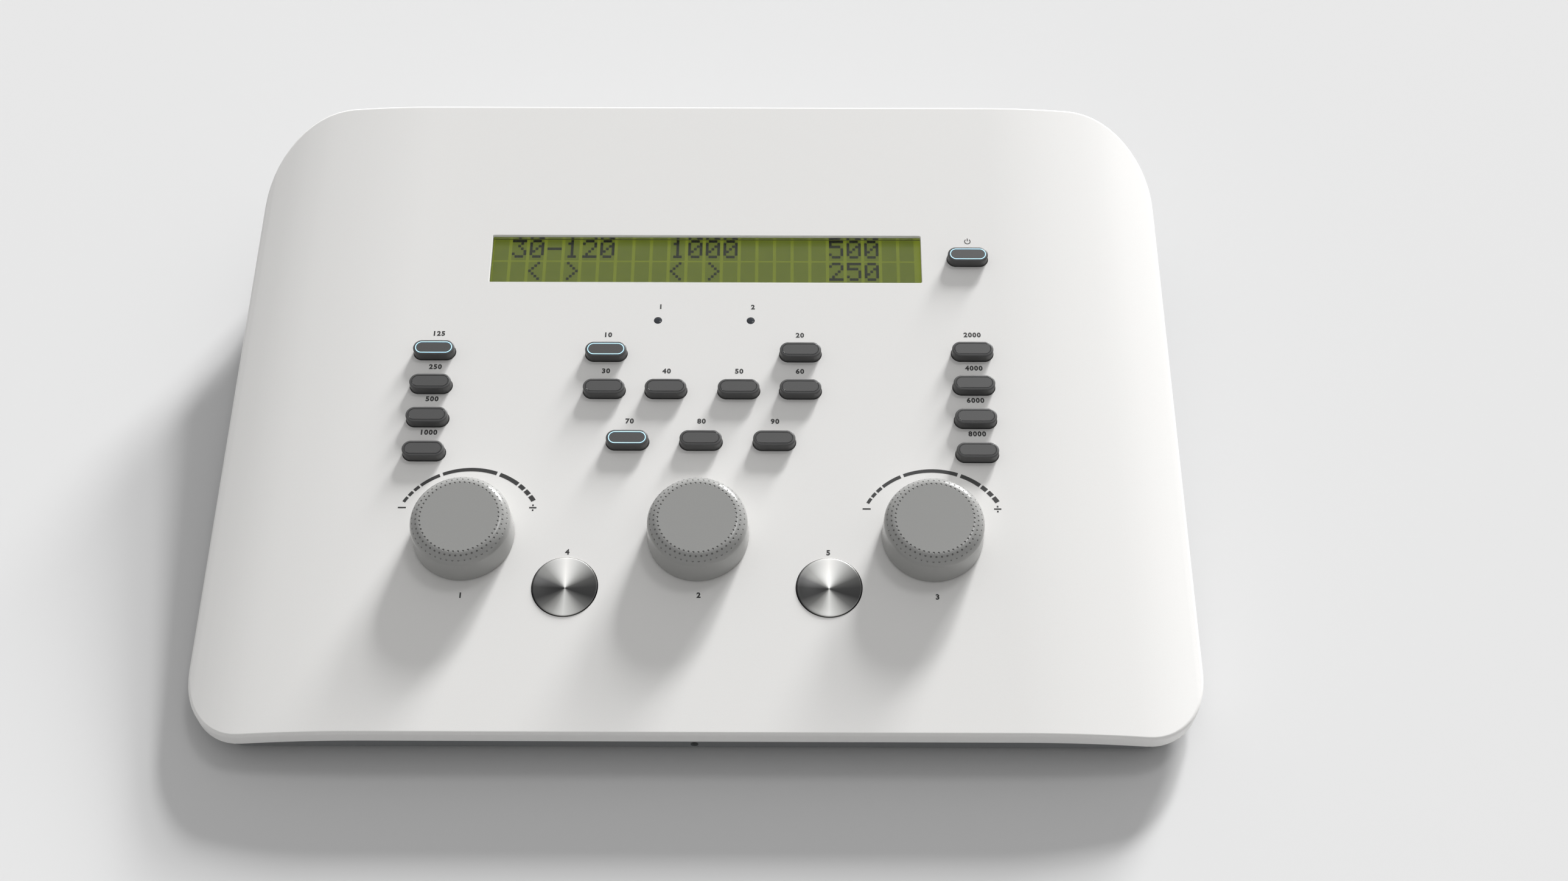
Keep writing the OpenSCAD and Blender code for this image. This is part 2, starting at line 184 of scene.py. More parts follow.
def edit(piece=None):
    """Opens a piece in edit mode with all of it selected, or with no piece closes edit mode"""
    if piece is None:
        bpy.ops.object.mode_set(mode="OBJECT")
        return
    activate(piece)
    bpy.ops.object.mode_set(mode="EDIT")
    pick_all()


def primitive(kind, name, **sizes):
    """Adds a primitive with its place in its mesh, and opens it in edit mode"""
    bpy.ops.object.select_all(action="DESELECT")
    getattr(bpy.ops.mesh, "primitive_" + kind + "_add")(**sizes)
    piece = bpy.context.object
    piece.name = piece.data.name = name
    bpy.ops.object.transform_apply(location=True, rotation=True, scale=True)
    edit(piece)
    return piece


def pull(x=0, y=0, z=0):
    """Extrudes the selected faces by a distance"""
    bpy.ops.mesh.extrude_region_move(TRANSFORM_OT_translate={"value": (x, y, z)})


def stretch(x, y, z=1, about=(0, 0, 0)):
    """Scales what is selected about a point"""
    bpy.ops.transform.resize(value=(x, y, z), center_override=about)


def apply_modifier(piece, kind, **settings):
    """Adds a modifier with its settings and applies it"""
    activate(piece)
    modifier = piece.modifiers.new(kind.lower(), kind)
    for key, value in settings.items():
        setattr(modifier, key, value)
    bpy.ops.object.modifier_apply(modifier=modifier.name)


def join(pieces, name):
    """Joins loose pieces into the first of them"""
    activate(pieces[0])
    for piece in pieces:
        piece.select_set(True)
    bpy.ops.object.join()
    pieces[0].name = pieces[0].data.name = name
    return pieces[0]


def carve(piece, cutters):
    """Cuts the cutters out of a piece and throws them away"""
    cutter = join(cutters, "cutter")
    apply_modifier(piece, "BOOLEAN", operation="DIFFERENCE", object=cutter, solver="EXACT")
    bpy.data.objects.remove(cutter)


def smooth(piece, angle=35):
    """Smooth shading that keeps edges sharper than the angle and flats flat"""
    activate(piece)
    bpy.ops.object.shade_smooth_by_angle(angle=math.radians(angle))
    apply_modifier(piece, "WEIGHTED_NORMAL", keep_sharp=True)


def duplicate(piece, name):
    """Copies a piece and its mesh under a new name"""
    copy = piece.copy()
    copy.data = piece.data.copy()
    copy.name = copy.data.name = name
    bpy.context.scene.collection.objects.link(copy)
    return copy


def rounded_plate(name, width, depth, z, corners):
    """Flat outline with elliptical corners, selected, ready to be pulled"""
    piece = primitive("plane", name, size=1, location=(0, 0, z))
    stretch(width, depth)
    for reach_x, reach_y, side in corners:
        stretch(1, reach_x / reach_y)
        pick("VERT", lambda v: v.co.y * side > depth / 4 and abs(abs(v.co.x) - width / 2) < 0.01)
        bpy.ops.mesh.bevel(offset=reach_x, segments=CORNER_STEPS, affect="VERTICES")
        bpy.ops.mesh.select_all(action="SELECT")
        stretch(1, reach_y / reach_x)
    pick_all()
    return piece


def cut_strips(piece):
    """Cuts the sides of a flat piece into strips, so that they can follow the arch"""
    edit(piece)
    for step in range(STRIPS + 1):
        for side in (-1, 1):
            bpy.ops.mesh.select_all(action="SELECT")
            bpy.ops.mesh.bisect(plane_co=(side * (FLAT_HALF + (BEVEL_X - FLAT_HALF) * step / STRIPS), 0, 0),
                                plane_no=(1, 0, 0))
    edit()


def drop(x):
    """How far the top has come down at a distance from the middle: an arc, a tighter curve, a bevel"""
    x = abs(x)
    return (ARCH_R - math.sqrt(ARCH_R ** 2 - max(0, x - FLAT_HALF) ** 2)
            + max(0, x - TIGHT_X) ** 2 / (2 * TIGHT_R) + max(0, x - BEVEL_X) * BEVEL_FALL)


def upright(edge):
    """True for an edge that borders an upright wall"""
    return any(abs(face.normal.z) < 0.5 for face in edge.link_faces)


def oblong(name, length, width, z):
    """Flat shape with two straight sides and round ends, selected, ready to be pulled up"""
    piece = primitive("circle", name, vertices=50, radius=width / 2, fill_type="NGON", location=(0, 0, z))
    for side in (-1, 1):
        pick("VERT", lambda v: v.co.x * side > 0)
        bpy.ops.transform.translate(value=(side * (length - width) / 2, 0, 0))
    pick_all()
    return piece


def drill(name, x, y, radius, low, high):
    """Round cutter standing on the flat of the cover"""
    piece = primitive("cylinder", name, vertices=96, radius=radius, depth=high - low,
                      location=(x, y, (low + high) / 2))
    edit()
    return piece


def lathe(name, profile, segments):
    """Round piece drawn up from a disc, ring by ring, through pairs of radius and height"""
    radius, height = profile[0]
    piece = primitive("circle", name, vertices=segments, radius=radius, fill_type="NGON",
                      location=(0, 0, height))
    for next_radius, next_height in profile[1:]:
        pull(z=next_height - height)
        scale = next_radius / radius
        stretch(scale, scale, about=(0, 0, next_height))
        radius, height = next_radius, next_height
    face_out()
    edit()
    return piece


def set_down(piece, x, y, z=0, to=SLOPE):
    """Moves a finished piece from the origin of the drawing to its place"""
    piece.data.transform(to @ Matrix.Translation((x, y, z)))


def noise(shader, scale, detail):
    """Fine noise in a material, fixed to the piece"""
    place = add(shader.id_data, "TexCoord")
    inputs = {"Vector": place.outputs["Object"], "Scale": scale, "Detail": detail}
    return add(shader.id_data, "TexNoise", inputs).outputs[0]


def mottle(shader, spots, first, second, socket="Base Color"):
    """Mixes two tones by a pattern of spots"""
    tones = {"Fac": spots, "Color1": linear(first), "Color2": linear(second)}
    shader.id_data.links.new(add(shader.id_data, "MixRGB", tones).outputs[0], shader.inputs[socket])


def roughen(shader, spots, low, high):
    """Varies the roughness by a pattern of spots"""
    span = {"Value": spots, "To Min": low, "To Max": high}
    shader.id_data.links.new(add(shader.id_data, "MapRange", span).outputs[0], shader.inputs["Roughness"])


def emboss(shader, spots, strength, distance):
    """Raises the surface a little by a pattern of spots"""
    relief = {"Height": spots, "Strength": strength, "Distance": distance}
    shader.id_data.links.new(add(shader.id_data, "Bump", relief).outputs[0], shader.inputs["Normal"])


COVER_WIDTH, COVER_DEPTH, WALL, RIM_WALL = 366, 283.4, 2.5, 2.7
FLAT_HALF, ARCH_R, TIGHT_X, TIGHT_R, STRIPS = 115, 320, 158, 130, 16
BEVEL_X, BEVEL_FALL = 179.8, 0.09
# Reach of the corners across and along, behind and in front.
CORNERS, CORNER_STEPS = ((34, 45, 1), (23, 29, -1)), 14
KEY_LENGTH, KEY_WIDTH, KEY_GAP = 16, 6.9, 0.3
SIDE_ROWS = (18.5, 3, -12, -27)
KEYS = {"power_key": (104.4, 63.7)}
for row, y in enumerate(SIDE_ROWS):
    KEYS["left_key_%d" % (row + 1)] = (-104.4, y)
    KEYS["right_key_%d" % (row + 1)] = (104.4, y)
for row, (x, y) in enumerate(((-37.7, 18), (37.7, 18))):
    KEYS["upper_key_%d" % (row + 1)] = (x, y)
for row, x in enumerate((-37.7, -14, 14, 37.7)):
    KEYS["middle_key_%d" % (row + 1)] = (x, 1)
for row, x in enumerate((-27.8, 0, 27.8)):
    KEYS["lower_key_%d" % (row + 1)] = (x, -22)
KNOBS = {"knob_left": (-86.4, -62.4), "knob_centre": (0, -62.4), "knob_right": (86.4, -62.4)}
DISCS = {"press_disc_left": (-48.1, -83.4), "press_disc_right": (48.1, -83.4)}
LAMPS = ((-18.2, 33.8), (18.2, 33.8))
WINDOW_Y, WINDOW_WIDTH, WINDOW_DEPTH, WINDOW_CORNER, WINDOW_EDGE = 63.7, 172, 23, 0.6, 0.2
# Round holes, by the places and the radius.
HOLES = ((KNOBS.values(), 4.8), (DISCS.values(), 12.2), (LAMPS, 1.6))
CUT_FROM, CUT_TO = -8, 3
SCREWS = [(x, y) for x in (-150, 150) for y in (78, -7, -92)]
BOARD_POSTS = [(-112, 83), (112, 83), (-112, -94), (112, -94), (-70, -10), (70, -10)]
DISPLAY_POSTS = [(x, WINDOW_Y + y) for x in (-80, 80) for y in (-19.2, 19.2)]
SCREW_JOINT = -15.7

cover = rounded_plate("cover_shell", COVER_WIDTH, COVER_DEPTH, 0, CORNERS)
pull(z=-RIM)
face_out()
pick("EDGE", lambda e: all(abs(v.co.z) < 0.01 for v in e.verts) and upright(e))
bpy.ops.mesh.bevel(offset=UPPER_ROUND, segments=6, affect="EDGES")
pick("EDGE", lambda e: all(abs(v.co.z + RIM) < 0.01 for v in e.verts) and upright(e))
bpy.ops.mesh.bevel(offset=LOWER_ROUND, segments=2, affect="EDGES")
pick("FACE", lambda f: f.normal.z < -0.99)
bpy.ops.mesh.inset(thickness=RIM_WALL)
pull(z=RIM - WALL)
bpy.ops.mesh.select_all(action="SELECT")
bpy.ops.transform.translate(value=(0, CENTRE_Y, 0))
edit()
cut_strips(cover)

cutters = [drill("hole", x, y, radius, CUT_FROM, CUT_TO) for places, radius in HOLES for x, y in places]
for x, y in KEYS.values():
    hole = oblong("hole", KEY_LENGTH + 2 * KEY_GAP, KEY_WIDTH + 2 * KEY_GAP, CUT_FROM)
    pull(z=CUT_TO - CUT_FROM)
    face_out()
    bpy.ops.transform.translate(value=(x, y, 0))
    edit()
    cutters.append(hole)
hole_at = (0, WINDOW_Y, -2)
hole = primitive("cube", "hole", size=1, location=hole_at)
stretch(WINDOW_WIDTH, WINDOW_DEPTH, 10, about=hole_at)
pick("EDGE", lambda e: abs(e.verts[0].co.z - e.verts[1].co.z) > 5)
bpy.ops.mesh.bevel(offset=WINDOW_CORNER, segments=4, affect="EDGES")
edit()
cutters.append(hole)
carve(cover, cutters)
edit(cover)
pick("EDGE", lambda e: all(abs(v.co.z) < 0.01 and abs(v.co.x) < WINDOW_WIDTH / 2 + 0.2
                           and abs(v.co.y - WINDOW_Y) < WINDOW_DEPTH / 2 + 0.2 for v in e.verts)
     and upright(e))
bpy.ops.mesh.bevel(offset=WINDOW_EDGE, segments=2, affect="EDGES")
pick("EDGE", lambda e: all(abs(abs(v.co.x) - BEVEL_X) < 0.001 and v.co.z > -0.01 for v in e.verts))
bpy.ops.mesh.mark_sharp()
edit()
for vertex in cover.data.vertices:
    vertex.co.z -= drop(vertex.co.x)
smooth(cover, 30)
cover.data.transform(SLOPE)

# Posts under the top, with blind bores that take the screws: end of the post, its root in the wall,
# and end of the bore.
posts = []
for places, radius, bore, low, high, deep in ((BOARD_POSTS, 3.5, 1.3, -13, -2.3, -4.5),
                                              (DISPLAY_POSTS, 2.4, 1, -8.4, -2.3, -4),
                                              (SCREWS, 4, 1.5, SCREW_JOINT, -3.5, -7)):
    for x, y in places:
        post = lathe("post", [(bore, deep), (bore, low), (radius, low), (radius, high)], 40)
        set_down(post, x, y)
        posts.append(post)
cover = join([cover] + posts, "cover_shell")

# Satin lacquer on ABS: a faint orange peel about 1.5 mm across, and a grain of 0.25 mm.
lacquer, shader = start_material("satin_lacquered_abs", "#FAF9F7", 0.42)
shader.inputs["Specular IOR Level"].default_value = 0.3
peel = noise(shader, 650, 1)
mottle(shader, noise(shader, 4000, 1), "#F6F5F3", "#FEFDFB")
roughen(shader, peel, 0.38, 0.46)
emboss(shader, peel, 0.05, 0.00005)
wear(cover, lacquer)
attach(cover, "housing")
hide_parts("top_cover")

# ---- Base ----
# The grey wedge under the cover, moulded in ABS with a fine spark-eroded texture. It stands in from
# the rim, is chamfered at its foot, and is open at the back for the sockets.
BASE_INSET, BASE_WALL, BASE_FLOOR, CHAMFER, BLANK, FOOT = 4.8, 2.5, 2, 2, 10, 2
BASE_DEPTH = COVER_DEPTH * math.cos(TILT)
BACK_Y = BASE_DEPTH / 2 - BASE_INSET + SHIFT_Y + CENTRE_Y
FRONT_Y = -BASE_DEPTH / 2 + BASE_INSET + SHIFT_Y + CENTRE_Y
SOCKET_Z, USB_Z, MIC_Z = 26, 24.45, 5.9
JACKS = [-112 + 26 * i for i in range(6)]
USB_X, POWER_X = 62, 96
JACK_HOLE, POWER_HOLE, MIC_HOLE, USB_WIDE, USB_HIGH = 4.9, 5.4, 1.4, 12.6, 11.5
POCKET_R, POCKET_DEEP = 7.2, 0.8
FEET = [(x, y) for x in (-148, 148) for y in (-104, 98)]


def under_cover(x, y):
    """Height of the cover's lower face, less a hair, over a point of the level plan"""
    z = -WALL - 0.3 - drop(x)
    along = (y - SHIFT_Y + z * math.sin(TILT)) / math.cos(TILT)
    return along * math.sin(TILT) + z * math.cos(TILT) + TOP_HEIGHT


base = rounded_plate("base_tub", COVER_WIDTH - 2 * BASE_INSET, BASE_DEPTH - 2 * BASE_INSET, FOOT,
                     [(a - BASE_INSET, b - BASE_INSET, side) for a, b, side in CORNERS])
pull(z=BLANK)
face_out()
pick("EDGE", lambda e: all(abs(v.co.z - FOOT) < 0.01 for v in e.verts) and upright(e))
bpy.ops.mesh.bevel(offset=CHAMFER, segments=1, affect="EDGES")
pick("FACE", lambda f: f.normal.z > 0.99)
bpy.ops.mesh.inset(thickness=BASE_WALL)
pull(z=BASE_FLOOR - BLANK)
bpy.ops.mesh.select_all(action="SELECT")
bpy.ops.transform.translate(value=(0, SHIFT_Y + CENTRE_Y, 0))
edit()
cut_strips(base)
for vertex in base.data.vertices:
    if vertex.co.z > FOOT + BLANK - 0.1:
        vertex.co.z = under_cover(vertex.co.x, vertex.co.y)

cutters = []
for x in JACKS + [POWER_X]:
    hole = primitive("cylinder", "hole", vertices=64, radius=POWER_HOLE if x == POWER_X else JACK_HOLE,
                     depth=13, location=(x, BACK_Y - 1.5, SOCKET_Z), rotation=(math.pi / 2, 0, 0))
    edit()
    cutters.append(hole)
hole_at = (USB_X, BACK_Y - 2, USB_Z)
hole = primitive("cube", "hole", size=1, location=hole_at)
stretch(USB_WIDE, 12, USB_HIGH, about=hole_at)
edit()
cutters.append(hole)
hole = primitive("cylinder", "hole", vertices=48, radius=MIC_HOLE, depth=8,
                 location=(0, FRONT_Y, MIC_Z), rotation=(math.pi / 2, 0, 0))
edit()
cutters.append(hole)
for x, y in FEET:
    cutters.append(drill("hole", x, y, POCKET_R, -1, FOOT + POCKET_DEEP))
# Screw posts leaning with the cover's, with a wide bore for the screw's head and a narrow one above.
posts = []
for x, y in SCREWS:
    post = drill("screw_post", x, y, 4.5, -50, SCREW_JOINT)
    post.data.transform(LEVEL.inverted() @ SLOPE)
    for vertex in post.data.vertices:
        if vertex.co.z < FOOT + 1:
            vertex.co.z = FOOT + 1
    posts.append(post)
    for radius, low, high in ((3.5, -60, -22), (1.8, -23, -14)):
        cutters.append(drill("hole", x, y, radius, low, high))
        cutters[-1].data.transform(LEVEL.inverted() @ SLOPE)
apply_modifier(base, "BOOLEAN", operation="UNION", object=join(posts, "screw_posts"), solver="EXACT")
bpy.data.objects.remove(posts[0])
carve(base, cutters)
smooth(base, 30)
base.data.transform(LEVEL)

# Textured ABS: a grain of 0.4 mm, drawn a little coarser than the real 0.2 mm so that it shows.
texture, shader = start_material("spark_textured_abs", "#7E8082", 0.6)
grain = noise(shader, 2500, 2)
mottle(shader, grain, "#76787A", "#868889")
emboss(shader, grain, 0.3, 0.0001)
wear(base, texture)
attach(base, "housing")
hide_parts("base_shell")

# ---- Rubber feet ----
# Four feet moulded in black rubber, each dished a little underneath and pressed into a round pocket in
# the floor of the base.
foot = lathe("foot", [(4.2, 0.5), (4.6, 0.1), (4.9, 0), (6.3, 0), (6.7, 0.2), (6.85, 0.6), (7, 2.8)], 64)
smooth(foot)
feet = [duplicate(foot, "foot_copy") for _ in FEET]
for copy, (x, y) in zip(feet, FEET):
    set_down(copy, x, y, to=LEVEL)
bpy.data.objects.remove(foot)
feet = join(feet, "rubber_foot_set")
# Soft rubber: matt black with a faint dusty bloom.
rubber, shader = start_material("moulded_rubber", "#1C1D1E", 0.8)
mottle(shader, noise(shader, 900, 3), "#161718", "#26282A")
wear(feet, rubber)
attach(feet, "housing")
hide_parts("rubber_feet")

# ---- Keys ----
# Eighteen oblong keys in dark grey ABS with soft edges and a retaining flange under the cover. A
# groove in the top takes a clear light ring, lit on four of them.
FLANGE_Z, FLANGE_THICK, FLANGE_WIDE = -4.1, 1.3, 1
KEY_WALL, KEY_TOP, HOLLOW, STEM_R, STEM_END = (3.1, 3.05), 3.8, 5.9, 2, -8.3
RING_IN, RING_WIDE, GROOVE, RING_GAP = 0.84, 0.36, 0.35, 0.04
key_cap = oblong("key_cap", KEY_LENGTH + 2 * FLANGE_WIDE, KEY_WIDTH + 2 * FLANGE_WIDE, FLANGE_Z)
pull(z=FLANGE_THICK)
bpy.ops.mesh.inset(thickness=FLANGE_WIDE)
for lift in KEY_WALL:
    pull(z=lift)
face_out()
# The soft edge in three steps up to KEY_TOP, and the groove.
pick("FACE", lambda f: f.normal.z > 0.99 and f.calc_center_median().z > 3)
bpy.ops.mesh.inset(thickness=0.12, depth=0.25)
bpy.ops.mesh.inset(thickness=0.23, depth=0.15)
bpy.ops.mesh.inset(thickness=RING_IN - 0.12 - 0.23, depth=0.05)
pull(z=-GROOVE)
bpy.ops.mesh.inset(thickness=RING_WIDE)
pull(z=GROOVE)
# Hollow from below, with a stem that reaches down to the switch.
pick("FACE", lambda f: f.normal.z < -0.99 and f.calc_center_median().z < FLANGE_Z + 0.1)
bpy.ops.mesh.inset(thickness=2.2)
pull(z=HOLLOW)
bpy.ops.mesh.inset(thickness=1.2)
pull(z=STEM_END - HOLLOW - FLANGE_Z)
pick("EDGE", lambda e: all(abs(v.co.z - KEY_TOP) < 0.01 for v in e.verts) and upright(e))
bpy.ops.mesh.bevel(offset=0.06, segments=2, affect="EDGES")
edit()
smooth(key_cap, 40)

light_ring = oblong("light_ring", KEY_LENGTH - 2 * RING_IN - RING_GAP, KEY_WIDTH - 2 * RING_IN - RING_GAP,
                    KEY_TOP - GROOVE + 0.01)
bpy.ops.mesh.inset(thickness=RING_WIDE - RING_GAP)
bpy.ops.mesh.delete(type="FACE")
bpy.ops.mesh.select_all(action="SELECT")
pull(z=0.3)
bpy.ops.mesh.inset(thickness=0.07, depth=0.05)
face_out()
edit()
smooth(light_ring, 40)

# Matt-textured ABS, dark grey, with a grain of 0.3 mm.
key_abs, shader = start_material("dark_grey_abs", "#494949", 0.45)
grain = noise(shader, 3200, 2)
mottle(shader, grain, "#464646", "#4C4C4C")
emboss(shader, grain, 0.1, 0.00005)
# Frosted light guide, lit by a lamp under the key: white core and ice blue edges.
lit_core, shader = start_material("lit_light_guide", "#D6F5FC", 0.3)
shader.inputs["Emission Color"].default_value = linear("#CDF1FB")
shader.inputs["Emission Strength"].default_value = 0.9
lit_edge, shader = start_material("lit_light_guide_edge", "#7FC9EE", 0.3)
shader.inputs["Emission Color"].default_value = linear("#7CC8F0")
shader.inputs["Emission Strength"].default_value = 0.55
# The same guide unlit: smoked and almost black.
dark_guide, _ = start_material("unlit_light_guide", "#141516", 0.25)
LIT = ("power_key", "left_key_1", "upper_key_1", "lower_key_1")
for name, (x, y) in KEYS.items():
    cap = duplicate(key_cap, name + "_cap")
    set_down(cap, x, y)
    wear(cap, key_abs)
    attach(cap, name)
    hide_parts(name)
    ring = duplicate(light_ring, name + "_ring")
    if name in LIT:
        wear(ring, lit_core, lit_edge)
        for face in ring.data.polygons:
            face.material_index = 0 if face.normal.z > 0.99 else 1
    else:
        wear(ring, dark_guide)
    set_down(ring, x, y)
    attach(ring, name)
bpy.data.objects.remove(key_cap)
bpy.data.objects.remove(light_ring)

# ---- Knobs ----
# Three large moulded knobs on encoder shafts: a flat top, a round shoulder with three rings of
# small grip dimples, and a smooth skirt, hollow below. Satin grey ABS.
KNOB_TOP, SHOULDER, TOP_R, SKIRT_R, FOOT_R = 14.7, 10.2, 14.1, 18.4, 18.75
INNER_R, INNER_TOP, KNOB_FOOT = 16.85, 12.2, 0.4
shoulder = [(TOP_R + (SKIRT_R - TOP_R) * math.cos(math.radians(a)),
             SHOULDER + (KNOB_TOP - SHOULDER) * math.sin(math.radians(a))) for a in range(0, 91, 6)]
knob = lathe("knob", [(INNER_R, INNER_TOP), (INNER_R, KNOB_FOOT), (FOOT_R - 0.12, KNOB_FOOT),
                      (FOOT_R, 0.55), (FOOT_R, 0.9)] + shoulder, 150)
# Dimples: balls of DIMPLE_R that sink in by SUNK, in rings of which the middle one is half a step round.
DIMPLES, DIMPLE_R, SUNK = 50, 0.6, 0.17
DIMPLE_RINGS = ((14.35, 0), (15.85, 0.5), (17.3, 0))
cutters = []
for ring_r, offset in DIMPLE_RINGS:
    lean = math.acos((ring_r - TOP_R) / (SKIRT_R - TOP_R))
    out = Vector((math.cos(lean) / (SKIRT_R - TOP_R), math.sin(lean) / (KNOB_TOP - SHOULDER))).normalized()
    ring_z = SHOULDER + (KNOB_TOP - SHOULDER) * math.sin(lean)
    for step in range(DIMPLES):
        angle = 2 * math.pi * (step + offset) / DIMPLES
        reach = ring_r + out.x * (DIMPLE_R - SUNK)
        bpy.ops.object.select_all(action="DESELECT")
        bpy.ops.mesh.primitive_uv_sphere_add(segments=12, ring_count=8, radius=DIMPLE_R, location=(
            reach * math.cos(angle), reach * math.sin(angle), ring_z + out.y * (DIMPLE_R - SUNK)))
        cutters.append(bpy.context.object)
carve(knob, cutters)
smooth(knob, 30)

# Satin ABS, warm grey, with the faint flow grain of a moulded part; the dimples are painted darker, as
# painted shade in the hollows.
knob_abs, shader = start_material("warm_grey_abs", "#A0A09E", 0.2)
mottle(shader, noise(shader, 3000, 2), "#9D9D9B", "#A3A3A1")
# Painted shade: a darker grey for the faces inside the dimples.
dimple_shade, _ = start_material("warm_grey_abs_painted_shade_in_dimples", "#5E5E5C", 0.5)
for name, (x, y) in KNOBS.items():
    copy = duplicate(knob, name + "_body")
    wear(copy, knob_abs, dimple_shade)
    # A small face that lies under the shoulder's surface belongs to a dimple, and takes the painted shade.
    for face in copy.data.polygons:
        middle = face.center
        r = math.hypot(middle.x, middle.y)
        if r > TOP_R - 0.4 and SHOULDER < middle.z < KNOB_TOP + 0.01:
            lift = ((max(r, TOP_R) - TOP_R) / (SKIRT_R - TOP_R)) ** 2
            lift += ((middle.z - SHOULDER) / (KNOB_TOP - SHOULDER)) ** 2
            face.material_index = 1 if lift < 0.985 and face.area < 0.05 else 0
    set_down(copy, x, y)
    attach(copy, name)
    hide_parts(name)
bpy.data.objects.remove(knob)

# ---- Press discs ----
# Two dished discs turned from stainless steel, with fine circular tool lines. The two bright fans, at the
# back and at the front, are a painted reflection: tones painted round the disc into the steel's colour.
DISC_R, DISC_TOP, DISC_FLANGE_R = 11.9, 0.4, 13.4
DISH, DISH_R, DISH_STEPS = 1.3, 11.45, 12
disc = lathe("disc", [(STEM_R, STEM_END), (STEM_R, FLANGE_Z), (DISC_FLANGE_R, FLANGE_Z),
                      (DISC_FLANGE_R, FLANGE_Z + FLANGE_THICK), (DISC_R, FLANGE_Z + FLANGE_THICK),
                      (DISC_R, 0.15), (DISC_R - 0.1, 0.33), (DISC_R - 0.28, DISC_TOP), (DISH_R, DISC_TOP)]
             + [(DISH_R * s / DISH_STEPS, DISC_TOP - DISH * (1 - (s / DISH_STEPS) ** 2))
                for s in range(DISH_STEPS - 1, 0, -1)]
             + [(0.25, DISC_TOP - DISH)], 144)
smooth(disc, 30)
# Painted reflection: tones round the disc, by the part of a turn from its left side: front at a quarter,
# back at three.
PAINTED_REFLECTION_FANS = ((0, "#2F2F2F"), (0.07, "#333333"), (0.125, "#545453"), (0.19, "#8C8C8A"), (0.25, "#C4C4C2"),
        (0.31, "#A8A8A6"), (0.375, "#666665"), (0.44, "#383838"), (0.5, "#3F3F3F"), (0.56, "#5C5C5B"),
        (0.625, "#A7A7A5"), (0.69, "#DCDCDA"), (0.75, "#FDFCF9"), (0.81, "#D0D0CE"), (0.875, "#8B8B89"),
        (0.94, "#4E4E4E"), (1, "#2F2F2F"))
for name, (x, y) in DISCS.items():
    copy = duplicate(disc, name + "_dish")
    set_down(copy, x, y)
    # Turned stainless steel: circular tool lines 0.15 mm apart, and fans of light and dark painted into its
    # colour as a painted reflection.
    steel, shader = start_material("turned_stainless_painted_fans_" + name, "#B5B5B3", 0.3, 1)
    tree = shader.id_data
    place = add(tree, "TexCoord")
    centre = SLOPE @ Vector((x, y, 0))
    local = add(tree, "Mapping", {"Vector": place.outputs["Object"], "Location": centre,
                                  "Rotation": (TILT, 0, 0)}, vector_type="TEXTURE")
    painted_fan = add(tree, "TexGradient", {"Vector": local.outputs[0]}, gradient_type="RADIAL")
    ramp = add(tree, "ValToRGB", {"Fac": painted_fan.outputs[1]})
    while len(ramp.color_ramp.elements) < len(PAINTED_REFLECTION_FANS):
        ramp.color_ramp.elements.new(0.5)
    for element, (spot, _) in zip(ramp.color_ramp.elements, PAINTED_REFLECTION_FANS):
        element.position = spot
    for element, (_, colour) in zip(ramp.color_ramp.elements, PAINTED_REFLECTION_FANS):
        element.color = linear(colour)
    # The painted reflection of the fans becomes the steel's base colour.
    tree.links.new(ramp.outputs[0], shader.inputs["Base Color"])
    flat = add(tree, "Mapping", {"Vector": local.outputs[0], "Scale": (1, 1, 0)})
    reach = add(tree, "VectorMath", {0: flat.outputs[0]}, operation="LENGTH")
    lines = add(tree, "TexNoise", {"W": reach.outputs["Value"], "Scale": 7000, "Detail": 1},
                noise_dimensions="1D")
    emboss(shader, lines.outputs[0], 0.15, 0.00003)
    wear(copy, steel)
    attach(copy, name)
    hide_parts(name)
bpy.data.objects.remove(disc)

# ---- Display ----
# A green character display of two lines, sunk under a clear acrylic pane. The cells show as darker
# blocks, and the dots that are on show numbers and arrows.
PITCH_X, PITCH_Y, DOT_X, DOT_Y, DOT_FILL = 7.1, 10.95, 1.155, 1.28, 0.985
CELL_X, CELL_TOP, CELL_Z, CELL_WIDE, CELL_MIDDLE = -85.65, 76.1, -4.5, 5.85, 2.9
FILM_THICK, CELL_LIFT, DOT_LIFT = 0.02, 0.02, 0.045
DOTS = {
    "0": "01110 10001 10011 10101 11001 10001 01110", "1": "00100 01100 00100 00100 00100 00100 01110",
    "2": "01110 10001 00001 00010 00100 01000 11111", "3": "11111 00010 00100 00010 00001 10001 01110",
    "5": "11111 10000 11110 00001 00001 10001 01110", "<": "00010 00100 01000 10000 01000 00100 00010",
    ">": "01000 00100 00010 00001 00010 00100 01000", "-": "00000 00000 00000 11111 00000 00000 00000"}
LINES = (" 30-120   1000     500  ", "  < >     < >      250  ")
cell = primitive("cube", "cell", size=1, location=(0, 0, 0))
stretch(CELL_WIDE, 8 * DOT_Y, FILM_THICK)
pick("EDGE", lambda e: abs(e.verts[0].co.z - e.verts[1].co.z) > 0.01)
bpy.ops.mesh.bevel(offset=0.25, segments=2, affect="EDGES")
edit()
dot = primitive("cube", "dot", size=1, location=(0, 0, 0))
stretch(DOT_X * DOT_FILL, DOT_Y * DOT_FILL, FILM_THICK)
pick("EDGE", lambda e: abs(e.verts[0].co.z - e.verts[1].co.z) > 0.01)
bpy.ops.mesh.bevel(offset=0.12, segments=1, affect="EDGES")
edit()
cells, dots = [], []
